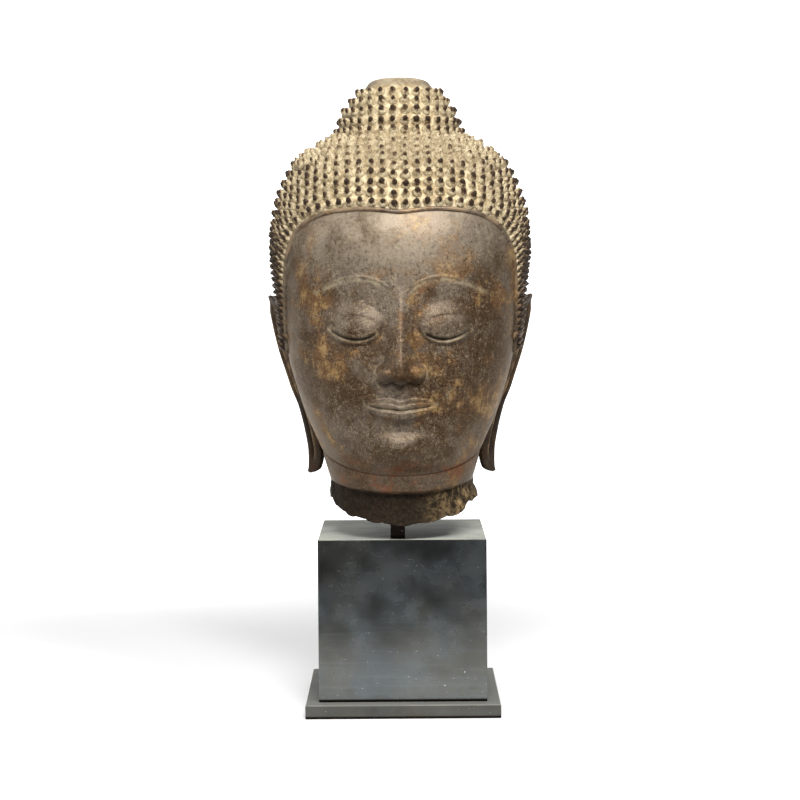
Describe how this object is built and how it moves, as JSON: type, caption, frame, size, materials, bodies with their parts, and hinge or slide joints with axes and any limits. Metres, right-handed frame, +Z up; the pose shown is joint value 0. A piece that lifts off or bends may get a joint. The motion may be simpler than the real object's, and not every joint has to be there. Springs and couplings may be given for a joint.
{
  "type": "buddha head",
  "caption": "Cast buddha head with a cap of pointed curls, a bell-shaped crown, long ears and a broken neck, held by a square bar over a dark steel block on a base plate.",
  "frame": {"origin": "middle of the base plate's underside", "axes": "+Z up through the stand and the head, the face looks along -Y, +X towards the right of the picture"},
  "size_m": [0.226, 0.2399, 0.534],
  "materials": {
    "bronze": "brown patina with buff deposit between the curls",
    "blackened_steel": "blackened and waxed",
    "dark_bar": "dark satin"
  },
  "bodies": {
    "root": {"base_plate": "blackened_steel", "stand_block": "blackened_steel", "mounting_bar": "dark_bar", "bronze_head": "bronze"}
  },
  "joints": []
}
